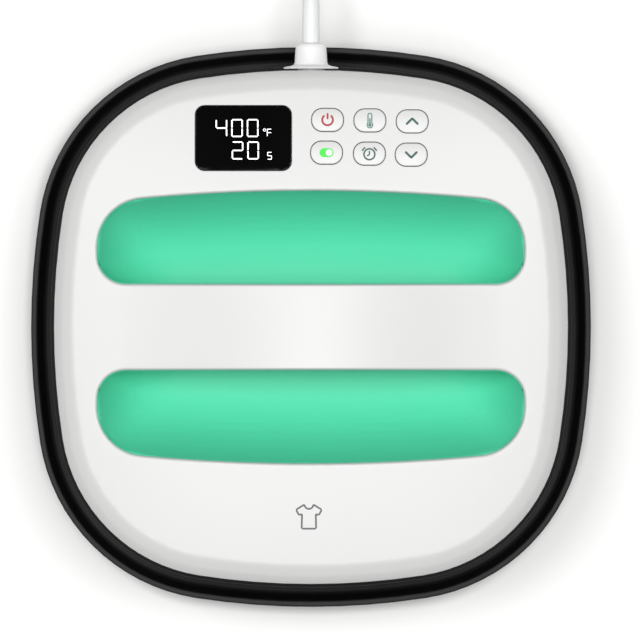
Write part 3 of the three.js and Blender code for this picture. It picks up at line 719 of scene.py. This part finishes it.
WELL_HALF_LENGTH = 106
WELL_BULGE = 67.5
WELL_BULGE_RADIUS = 926
WELL_CORNER = 24
WELL_INNER_CORNER = 14
BULGE_CENTRE = WELL_BULGE - WELL_BULGE_RADIUS
WELL_X = WELL_HALF_LENGTH - WELL_CORNER
WELL_Y = BULGE_CENTRE + math.sqrt((WELL_BULGE_RADIUS - WELL_CORNER) ** 2 - WELL_X**2)
BULGE_ANGLE = math.atan2(WELL_X, WELL_Y - BULGE_CENTRE)


def well_back(side, z, corner_steps=14, bulge_steps=24):
    """Arcs of the well's outer edge behind (side 1) or before (side -1) the handle."""
    corner = math.pi / 2 - BULGE_ANGLE

    def spot(x, y):
        return (side * x * MM, side * y * MM, z * MM)

    return [
        (spot(WELL_X, WELL_Y), corner, corner_steps),
        (spot(0, BULGE_CENTRE), 2 * BULGE_ANGLE, bulge_steps),
        (spot(-WELL_X, WELL_Y), corner, corner_steps),
    ]


def opening_loop(pen, side, z):
    """The opening on one side of the handle, straight along the handle."""
    x, y = WELL_HALF_LENGTH - WELL_INNER_CORNER, HANDLE_HALF_WIDTH + WELL_INNER_CORNER

    def spot(a, b):
        return (side * a * MM, side * b * MM, z * MM)

    moves = well_back(side, z)
    moves += [spot(-WELL_HALF_LENGTH, y), (spot(-x, y), math.pi / 2, 10), spot(x, HANDLE_HALF_WIDTH)]
    moves += [(spot(x, y), math.pi / 2, 10), spot(WELL_HALF_LENGTH, WELL_Y)]
    pen.draw(spot(WELL_HALF_LENGTH, WELL_Y), moves)


def well_loop(pen, margin, z):
    """The whole well, which runs on under the handle, its ends moved out by a margin."""
    start = ((WELL_HALF_LENGTH + margin) * MM, WELL_Y * MM, z * MM)
    across = (-(WELL_HALF_LENGTH + margin) * MM, -WELL_Y * MM, z * MM)
    pen.draw(start, [*well_back(1, z), across, *well_back(-1, z), start])


LENS_LOW, LENS_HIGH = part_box("display_lens")
LENS_MIDDLE = (LENS_LOW + LENS_HIGH) / 2
LENS_SIZE = (LENS_HIGH - LENS_LOW) / MM
LENS_CORNER = 4.5
KEY_NODES = ("key_power", "key_temperature", "key_up", "key_start", "key_timer", "key_down")
KEY_WIDTH, KEY_DEPTH, KEY_CORNER = 15.6, 11.2, 5.2
KEY_PROUD = 0.5
CONTROL_GAP = 0.3
CUT_LOW, CUT_HIGH = 90, 110


def key_middle(node):
    low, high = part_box(node)
    return (low + high) / 2


def cutter(name, draw):
    """A closed block through the shell's top, from one outline."""
    pen = Pen(name)
    for z in (CUT_LOW, CUT_HIGH):
        draw(pen, z)
    pen.skin()
    return pen.finish(None)


def flat_loop(middle, width, depth, corner, steps=8):
    return lambda pen, z: rounded_loop(
        pen, (middle.x, middle.y, z * MM), (1, 0, 0), (0, 1, 0), width, depth, corner, steps
    )


def control_cutter(name, middle, width, depth, corner):
    """A block a fine gap wider all round than a control."""
    wide, deep = width + 2 * CONTROL_GAP, depth + 2 * CONTROL_GAP
    return cutter(name, flat_loop(middle, wide, deep, corner + CONTROL_GAP))


def apply(piece, kind, **settings):
    """Adds one modifier and applies it."""
    bpy.ops.object.select_all(action="DESELECT")
    bpy.context.view_layer.objects.active = piece
    piece.select_set(True)
    modifier = piece.modifiers.new(kind.lower(), kind)
    for key, value in settings.items():
        setattr(modifier, key, value)
    bpy.ops.object.modifier_apply(modifier=modifier.name)


shell_pen = Pen("upper_shell_moulding")
bowed_loop(shell_pen, 128.5, SHELL_BOTTOM)
bowed_loop(shell_pen, 127.2, SHELL_FLAT)
shell_pen.skin(ends=False)
shell_pen.pick(2)
bpy.ops.mesh.edge_face_add()
shell_pen.bevel(10 * MM, at_height(SHELL_FLAT), 14)
upper_shell = shell_pen.finish(None)

apply(upper_shell, "SOLIDIFY", thickness=3 * MM, offset=-1, use_even_offset=True)
cutters = [
    cutter(f"well_cutter_{side}", lambda pen, z: opening_loop(pen, side, z)) for side in (1, -1)
]
cutters.append(control_cutter("lens_cutter", LENS_MIDDLE, LENS_SIZE.x, LENS_SIZE.y, LENS_CORNER))
for node in KEY_NODES:
    middle = key_middle(node)
    cutters.append(control_cutter(f"{node}_cutter", middle, KEY_WIDTH, KEY_DEPTH, KEY_CORNER))
lead_hole = [(-20, 0), (-20, 7.2), (0, 7.2), (0, 0)]
cutters.append(turned("lead_cutter", lead_hole, RELIEF_TIP, (0, 1, 0), None))
bpy.ops.object.select_all(action="DESELECT")
for block in cutters:
    block.select_set(True)
bpy.context.view_layer.objects.active = cutters[0]
bpy.ops.object.join()
apply(upper_shell, "BOOLEAN", object=cutters[0], operation="DIFFERENCE", solver="EXACT")
bpy.data.objects.remove(cutters[0])


CONTROLS_START = 72
SQUARE_TURN = 1.4


def rim(e, low_y, high_y):
    """Passes the upper edges of the openings between two distances from the middle line."""
    y = abs(sum(v.co.y for v in e.verts) / 2) / MM
    return at_height(SHELL_FLAT)(e) and low_y < y < high_y and e.calc_face_angle(0) > SQUARE_TURN


def even_shading(piece):
    apply(piece, "WEIGHTED_NORMAL", mode="FACE_AREA", weight=80, keep_sharp=True)


bpy.context.view_layer.objects.active = upper_shell
upper_shell.select_set(True)
bpy.ops.object.mode_set(mode="EDIT")
shell_pen.bevel(1.5 * MM, lambda e: rim(e, 0, CONTROLS_START), 5)
shell_pen.bevel(0.35 * MM, lambda e: rim(e, CONTROLS_START, 120), 3)
grid_cut(8, 112, 112)
upper_shell = shell_pen.finish(None, 30)
dome(upper_shell)
shell_white = moulded(
    "shell_moulding", (0.60, 0.598, 0.594), 0.35, grain=0.008 * MM, grain_size=0.5 * MM, clouds=0.012
)
upper_shell.data.materials.append(shell_white)
even_shading(upper_shell)
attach(upper_shell, "press")
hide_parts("upper_shell")


# Grip well: a smooth mint green bowl under both openings, its rim flush under the shell. It is drawn
# as stepped rings, cut along a grid and then let down to the bowl's depth.
mint = moulded("mint_moulding", (0.10, 0.66, 0.425), 0.5, grain=0.006 * MM, clouds=0.02, ior=1.38)
BOWL_DEPTH = 40
BOWL_REACH = 60
RIM_BLEND = 8
LINER_TOP = 99.9
LINER_LIP = 2.6
LINER_THICK = 2.2
RINGS = (0, 0.8, 1.8, 3, 4.5, 6.5, 9, 12, 15.5, 19.5)


def bowl_drop(x, y):
    """Depth of the bowl: a soft distance from its rim, then an easing that ends level."""
    from_end = WELL_HALF_LENGTH - abs(x)
    from_side = WELL_BULGE_RADIUS - math.hypot(x, abs(y) - BULGE_CENTRE)
    soft = -RIM_BLEND * math.log(math.exp(-from_end / RIM_BLEND) + math.exp(-from_side / RIM_BLEND))
    share = min(1, max(0, soft / BOWL_REACH))
    return BOWL_DEPTH * (1 - (1 - share) ** 4)


liner_pen = Pen("grip_well_liner")
well_loop(liner_pen, LINER_LIP, LINER_TOP)
for inward in RINGS:
    well_loop(liner_pen, -inward, LINER_TOP - inward)
liner_pen.skin(ends=False)
liner_pen.pick(liner_pen.loops)
bpy.ops.mesh.edge_face_add()
grid_cut(4, 110, 72)
liner = liner_pen.finish(mint, 80)
for v in liner.data.vertices:
    if v.co.z / MM < LINER_TOP - 0.01:
        v.co.z = (LINER_TOP - bowl_drop(v.co.x / MM, v.co.y / MM)) * MM
apply(liner, "SOLIDIFY", thickness=LINER_THICK * MM, offset=-1)
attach(liner, "press")
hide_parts("grip_well")


# Underside of the handle: a mint green trough below the white bar. Its top edge stands half a
# millimetre past the bar and follows the round ends of both openings.
COVER_TOP, COVER_PLATE, COVER_BOTTOM = 99.8, 97.4, 84
COVER_PROUD = 0.5
COVER_FLARE = 0.5


def cover_plate_loop(pen, z):
    """The bar's outline let out a little, flared into the rounds of both openings."""
    x = WELL_HALF_LENGTH - WELL_INNER_CORNER
    y = HANDLE_HALF_WIDTH + WELL_INNER_CORNER
    half = HANDLE_HALF_WIDTH + COVER_PROUD
    radius = WELL_INNER_CORNER - COVER_PROUD
    sweep = math.pi / 2 - math.acos((radius - COVER_FLARE) / radius)
    end_x, end_y = x + radius * math.sin(sweep), y - radius * math.cos(sweep)

    def spot(a, b):
        return (a * MM, b * MM, z * MM)

    moves = []
    for side in (1, -1):
        moves += [(spot(side * x, side * y), -sweep, 10), spot(-side * x, side * half)]
        moves += [(spot(-side * x, side * y), -sweep, 10), spot(-side * end_x, -side * end_y)]
    pen.draw(spot(end_x, end_y), moves)


cover_pen = Pen("handle_cover_plate")
for z in (COVER_PLATE, COVER_TOP):
    cover_plate_loop(cover_pen, z)
cover_pen.skin()
cover_pen.bevel(0.6 * MM, at_height(COVER_TOP), 3)
handle_plate = cover_pen.finish(mint)

TROUGH_WIDTH = 43.4
TROUGH_TOP = COVER_PLATE + 0.2
# Distance from the middle, how far the section is drawn in, and its corner radius.
TROUGH_SECTIONS = (
    (-103, 3.5, 8), (-102.4, 1.6, 8), (-101, 0.5, 8), (-98, 0, 9),
    (98, 0, 9), (101, 0.5, 8), (102.4, 1.6, 8), (103, 3.5, 8),
)
trough_pen = Pen("handle_cover_trough")
for run, less, corner in TROUGH_SECTIONS:
    middle = Vector((run, 0, TROUGH_TOP)) * MM
    width, height = TROUGH_WIDTH - 2 * less, 2 * (TROUGH_TOP - COVER_BOTTOM - less)
    rounded_loop(trough_pen, middle, (0, 1, 0), (0, 0, 1), width, height, corner, 8)
trough_pen.skin()
bpy.ops.mesh.select_all(action="SELECT")
bpy.ops.mesh.bisect(
    plane_co=(0, 0, TROUGH_TOP * MM), plane_no=(0, 0, 1), clear_outer=True, use_fill=True
)
handle_trough = trough_pen.finish(mint)
bpy.ops.object.select_all(action="DESELECT")
handle_plate.select_set(True)
handle_trough.select_set(True)
bpy.context.view_layer.objects.active = handle_trough
bpy.ops.object.join()
handle_cover = bpy.context.object
handle_cover.name = "handle_underside"
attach(handle_cover, "press")
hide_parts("handle_cover")


# Display: a gloss black lens set flush in the shell, with the lit segments of the display that stands
# under it.
LENS_FOOT = 101


def lens_gloss():
    """Smoked lens: nearly black, with slight smears in its gloss."""
    finish = Finish("lens_gloss", ior=1.15)
    blacks = ((0.001, 0.001, 0.001, 1), (0.002, 0.002, 0.002, 1))
    finish.set("Base Color", finish.mix(finish.noise(60), *blacks))
    finish.set("Roughness", 0.04 + 0.05 * finish.noise(30, 4))
    return finish.material


lens_pen = Pen("display_window")
for z in (LENS_FOOT, SHELL_FLAT + 0.1):
    flat_loop(LENS_MIDDLE, LENS_SIZE.x, LENS_SIZE.y, LENS_CORNER)(lens_pen, z)
lens_pen.skin()
lens_pen.bevel(0.3 * MM, at_height(SHELL_FLAT + 0.1), 3)
grid_cut(8, 64, 112)
display_window = lens_pen.finish(lens_gloss())
dome(display_window)
even_shading(display_window)
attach(display_window, "press")
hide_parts("display_lens")


def lit(name, colour, strength):
    """A glowing segment, a little uneven."""
    finish = Finish(name, emission_strength=strength, roughness=0.5)
    glow = finish.mix(finish.noise(400), tint(colour, 0.94), tint(colour, 1.0))
    finish.set("Base Color", glow)
    finish.set("Emission Color", glow)
    return finish.material


SEGMENTS = {"0": "abcdef", "2": "abged", "4": "fgbc", "S": "afgcd", "F": "afge"}


def segment_strokes(shape, x, y, width, height, gap):
    """Centre lines of the lit bars of one character, its lower left corner at x, y."""
    half = height / 2
    places = {
        "a": ((gap, height), (width - gap, height)),
        "b": ((width, height - gap), (width, half + gap)),
        "c": ((width, half - gap), (width, gap)),
        "d": ((gap, 0), (width - gap, 0)),
        "e": ((0, gap), (0, half - gap)),
        "f": ((0, half + gap), (0, height - gap)),
        "g": ((gap, half), (width - gap, half)),
    }
    return [tuple((x + a, y + b) for a, b in places[bar]) for bar in SEGMENTS[shape]]


PRINT_THICK = 0.08


class Print:
    """Thin flat marks on the domed top: bars and arcs of one width, drawn in edit mode."""

    def __init__(self, name, z):
        self.pen = Pen(name)
        self.z = z

    def bar(self, start, end, width):
        """A bar between two points, pointed at both ends."""
        start, end = Vector((*start, 0)), Vector((*end, 0))
        along = (end - start).normalized()
        across = Vector((-along.y, along.x, 0)) * (width / 2)
        point = along * (width * 0.4)
        corners = [start + across + point, start, start - across + point]
        corners += [end - across - point, end, end + across - point]
        corners = [(c + Vector((0, 0, self.z))) * MM for c in corners]
        self.pen.draw(corners[0], [tuple(c) for c in corners[1:]])
        self.pen.pick(self.pen.loops)
        bpy.ops.mesh.edge_face_add()

    def arc(self, centre, radius, width, start, sweep, steps=24):
        """A band round a centre, counter-clockwise from the angle start, in degrees."""
        angle = math.radians(start)
        out = Vector((math.cos(angle), math.sin(angle), 0))
        middle = Vector((*centre, self.z))
        inner, outer = ((middle + out * (radius + side * width / 2)) * MM for side in (-1, 1))
        self.pen.draw(inner, [tuple(outer)], closed=False)
        self.pen.pick(self.pen.loops)
        bpy.ops.mesh.spin(steps=steps, angle=-math.radians(sweep), center=middle * MM, axis=(0, 0, 1))

    def pill(self, centre, width, height):
        """A filled bar with round ends, or a disc."""
        middle = Vector((*centre, self.z)) * MM
        rounded_loop(self.pen, middle, (1, 0, 0), (0, 1, 0), width, height, height / 2, 12)
        self.pen.pick(self.pen.loops)
        bpy.ops.mesh.edge_face_add()

    def finish(self, material):
        """Faces the marks up, gives them the thickness of the print and domes them."""
        bpy.ops.mesh.select_all(action="SELECT")
        bpy.ops.mesh.remove_doubles(threshold=0.001 * MM)
        bpy.ops.mesh.normals_make_consistent(inside=False)
        bm = self.pen.mesh()
        for f in bm.faces:
            if f.normal.z < 0:
                f.normal_flip()
        bmesh.update_edit_mesh(self.pen.piece.data)
        bpy.ops.object.mode_set(mode="OBJECT")
        self.pen.piece.data.attributes.remove(self.pen.piece.data.attributes["loop"])
        apply(self.pen.piece, "SOLIDIFY", thickness=PRINT_THICK * MM, offset=-1)
        dome(self.pen.piece)
        self.pen.piece.data.materials.append(material)
        return self.pen.piece


DIGIT_WIDTH, DIGIT_HEIGHT, DIGIT_PITCH, DIGIT_STROKE, DIGIT_GAP = 5.1, 8.3, 7.75, 0.62, 0.12
UNIT_WIDTH, UNIT_HEIGHT, UNIT_STROKE, UNIT_GAP = 1.9, 3.4, 0.36, -0.1
digits = Print("display_digits", SHELL_FLAT + 0.15)
lens_left, lens_top = LENS_LOW.x / MM, LENS_HIGH.y / MM
for text, from_left, from_top in (("400", 10.3, 6.9), ("20", 18.3, 18.0)):
    for i, shape in enumerate(text):
        x, y = lens_left + from_left + i * DIGIT_PITCH, lens_top - from_top - DIGIT_HEIGHT
        for start, end in segment_strokes(shape, x, y, DIGIT_WIDTH, DIGIT_HEIGHT, DIGIT_GAP):
            digits.bar(start, end, DIGIT_STROKE)
for shape, from_left, from_top in (("F", 35.6, 11.6), ("S", 35.8, 23.1)):
    x, y = lens_left + from_left, lens_top - from_top - UNIT_HEIGHT
    for start, end in segment_strokes(shape, x, y, UNIT_WIDTH, UNIT_HEIGHT, UNIT_GAP):
        digits.bar(start, end, UNIT_STROKE)
digits.arc((lens_left + 34.2, lens_top - 12.0), 0.6, 0.26, 0, 360, 16)
display_digits = digits.finish(lit("segment_light", (0.95, 0.97, 1.0), 0.9))
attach(display_digits, "press")


# Keys: six white pads, each just proud of the shell in a fine gap, with its printed mark. Each is
# pressed down on its own switch on the control board.
KEY_FOOT = 98.4
key_white = moulded("key_moulding", (0.62, 0.619, 0.615), 0.35, grain=0.004 * MM, clouds=0.01)
key_tops = {}
for node in KEY_NODES:
    middle = key_middle(node)
    pen = Pen(node + "_pad")
    for z in (KEY_FOOT, SHELL_FLAT + KEY_PROUD):
        flat_loop(middle, KEY_WIDTH, KEY_DEPTH, KEY_CORNER)(pen, z)
    pen.skin()
    pen.bevel(0.45 * MM, at_height(SHELL_FLAT + KEY_PROUD), 4)
    pad = pen.finish(key_white)
    dome(pad)
    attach(pad, node)
    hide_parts(node)
    key_tops[node] = middle / MM


def ink(name, colour):
    """Printed mark: flat colour with the slight mottle of screen print."""
    finish = Finish(name, roughness=0.5)
    finish.set("Base Color", finish.mix(finish.noise(900), tint(colour, 0.9), tint(colour, 1.1)))
    return finish.material


red_ink = ink("red_ink", (0.36, 0.004, 0.01))
teal_ink = ink("teal_ink", (0.006, 0.075, 0.055))
grey_teal_ink = ink("grey_teal_ink", (0.06, 0.19, 0.155))
green_ink = ink("green_ink", (0.03, 0.72, 0.035))
white_ink = ink("white_ink", (0.75, 0.77, 0.75))
MARK_Z = SHELL_FLAT + KEY_PROUD + 0.05


def mark(node, name, material, draw, z=MARK_Z):
    """One printed mark that rides on its key."""
    print_on = Print(name, z)
    draw(print_on, key_tops[node].x, key_tops[node].y)
    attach(print_on.finish(material), node)


def power_mark(p, x, y):
    p.arc((x, y), 2.65, 1.0, 125, 290)
    p.bar((x, y + 0.2), (x, y + 3.5), 0.95)


def thermometer_mark(p, x, y):
    p.arc((x, y + 2.6), 0.95, 0.6, 0, 180, 12)
    for side in (-1, 1):
        p.bar((x + side * 0.95, y + 2.75), (x + side * 0.95, y - 1.45), 0.6)
    p.arc((x, y - 2.3), 1.4, 0.6, 130, 280, 18)


def thermometer_fill(p, x, y):
    p.pill((x, y - 2.3), 1.7, 1.7)
    p.bar((x, y - 2.3), (x, y + 1.2), 0.75)


def chevron(up):
    def draw(p, x, y):
        for side in (-1, 1):
            p.bar((x + side * 3.1, y - up * 1.6), (x - side * 0.3, y + up * 1.75), 1.15)
    return draw


def switch_mark(p, x, y):
    p.pill((x, y), 7.0, 4.5)


def switch_knob(p, x, y):
    p.pill((x + 1.25, y), 3.3, 3.3)


def clock_mark(p, x, y):
    p.arc((x, y - 0.3), 2.7, 0.82, 0, 360, 36)
    p.bar((x, y - 0.7), (x, y + 1.5), 0.7)
    p.bar((x + 0.2, y - 0.5), (x - 1.3, y - 1.1), 0.7)
    for middle in (42, 138):
        p.arc((x, y - 0.3), 3.95, 0.75, middle - 17, 34, 8)


mark("key_power", "mark_power", red_ink, power_mark)
mark("key_temperature", "mark_thermometer", grey_teal_ink, thermometer_mark)
mark("key_temperature", "mark_thermometer_fill", grey_teal_ink, thermometer_fill)
mark("key_up", "mark_up", teal_ink, chevron(1))
mark("key_down", "mark_down", teal_ink, chevron(-1))
mark("key_start", "mark_switch", green_ink, switch_mark)
mark("key_start", "mark_switch_knob", white_ink, switch_knob, MARK_Z + 0.06)
mark("key_timer", "mark_clock", teal_ink, clock_mark)


# Pictogram: a small plain grey T-shirt, screen printed on the shell in front of the well. It tells
# what the press is for.
SHIRT_X, SHIRT_Y, SHIRT_STROKE = -1, -94, 0.9
SHIRT_NECK = 2.2
SHIRT_LEFT = [(-SHIRT_NECK, 6), (-6.4, 3.4), (-4.8, 0.6), (-3.4, 1.4), (-3.6, -6)]
SHIRT = [(x + SHIRT_X, y + SHIRT_Y) for x, y in SHIRT_LEFT + [(-x, y) for x, y in SHIRT_LEFT[::-1]]]
shirt = Print("mark_shirt", SHELL_FLAT + 0.05)
for start, end in zip(SHIRT, SHIRT[1:]):
    shirt.bar(start, end, SHIRT_STROKE)
shirt.arc((SHIRT_X, SHIRT_Y + 6), SHIRT_NECK, SHIRT_STROKE, 180, 180, 16)
shirt_mark = shirt.finish(ink("grey_ink", (0.10, 0.10, 0.105)))
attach(shirt_mark, "press")


# Hidden works, carried over from the frame: boards, heater, wires, screws and insulation. They lie
# inside the shell and the skirt, and each gets the finish of the real part.
def board():
    """Green solder mask over fine copper tracks, with bright pads."""
    finish = Finish("circuit_board", roughness=0.35, coat_weight=0.2)
    grid = {"Vector": finish.place, "Scale": 120.0, "Mortar Size": 0.08}
    tracks = finish.node("TexBrick", {"offset": 0.5}, grid, output="Fac")
    pads = finish.node("TexVoronoi", None, {"Vector": finish.place, "Scale": 260.0}, output="Distance")
    mask = finish.mix(tracks, (0.01, 0.12, 0.05, 1), (0.02, 0.22, 0.09, 1))
    finish.set("Base Color", finish.mix(finish.ramp(0.16 - pads, 0.0, 0.02), mask, (0.6, 0.62, 0.6, 1)))
    finish.bump(tracks, 0.03 * MM)
    return finish.material


def fibre_pad():
    """Off-white mineral wool board with matted fibres."""
    finish = Finish("insulation_fibre", roughness=0.95)
    fibres = finish.noise(700, 6, 0.7)
    finish.set("Base Color", finish.mix(fibres, (0.55, 0.50, 0.40, 1), (0.80, 0.77, 0.68, 1)))
    finish.bump(fibres, 0.4 * MM)
    return finish.material


def fired_clay():
    """Cream ceramic, matt, with tiny dark specks."""
    finish = Finish("ceramic_body", roughness=0.6)
    specks = finish.ramp(finish.noise(1800, 2), 0.68, 0.72)
    finish.set("Base Color", finish.mix(specks, (0.78, 0.74, 0.64, 1), (0.35, 0.30, 0.24, 1)))
    finish.bump(finish.noise(900, 3), 0.02 * MM)
    return finish.material


def banded(name, dark, pale, pitch, axis, roughness):
    """Fine parallel bands across one axis, as on a ribbon cable or a stack of laminations."""
    finish = Finish(name, roughness=roughness)
    along = finish.node("SeparateXYZ", None, {0: finish.place}, output=axis)
    wave = finish.node("Math", {"operation": "SINE"}, {0: along * (2 * math.pi / (pitch * MM))})
    bands = finish.ramp(wave, -0.5, 0.5)
    finish.set("Base Color", finish.mix(bands, (*dark, 1), (*pale, 1)))
    finish.bump(bands, 0.2 * MM)
    return finish.material


SCREWS = [
    f"{part}_screw_{end}_{side}"
    for part in ("shell", "plate") for end in ("back", "front") for side in ("left", "right")
]
SCREWS += ["board_screw_1", "board_screw_2", "board_screw_3", "board_screw_4"]
SCREWS += ["handle_screw_left", "handle_screw_right"]
HIDDEN = {
    moulded("dark_module", (0.02, 0.02, 0.022), 0.5): ("display_module", "buzzer", "cord_clamp"),
    board(): ("control_board", "power_board"),
    moulded("blue_relay", (0.03, 0.12, 0.42), 0.35): ("relay",),
    moulded("grey_terminals", (0.34, 0.35, 0.34), 0.5): ("terminal_block",),
    banded("laminations", (0.06, 0.06, 0.065), (0.22, 0.22, 0.23), 1.0, "Z", 0.45): ("transformer",),
    banded("ribbon_wires", (0.30, 0.31, 0.33), (0.55, 0.56, 0.58), 1.27, "X", 0.5): ("ribbon_cable",),
    plated("element_sheath", (0.30, 0.26, 0.22), 0.35): ("heating_element",),
    fired_clay(): ("thermal_cutout", "temperature_sensor"),
    fibre_pad(): ("insulation_pad",),
    plated("zinc_steel", (0.62, 0.62, 0.60), 0.22): ("heat_shield",),
    plated("screw_steel", (0.42, 0.42, 0.44), 0.3): SCREWS,
    moulded("red_wire", (0.50, 0.02, 0.02), 0.45): ("heater_wire_left",),
    moulded("white_wire", (0.70, 0.70, 0.68), 0.45): ("heater_wire_right",),
    moulded("inner_lead_sheath", (0.72, 0.73, 0.74), 0.45): ("mains_lead_inner",),
}
for material, nodes in HIDDEN.items():
    for node in nodes:
        for slot in bpy.data.objects[node].material_slots:
            slot.material = material
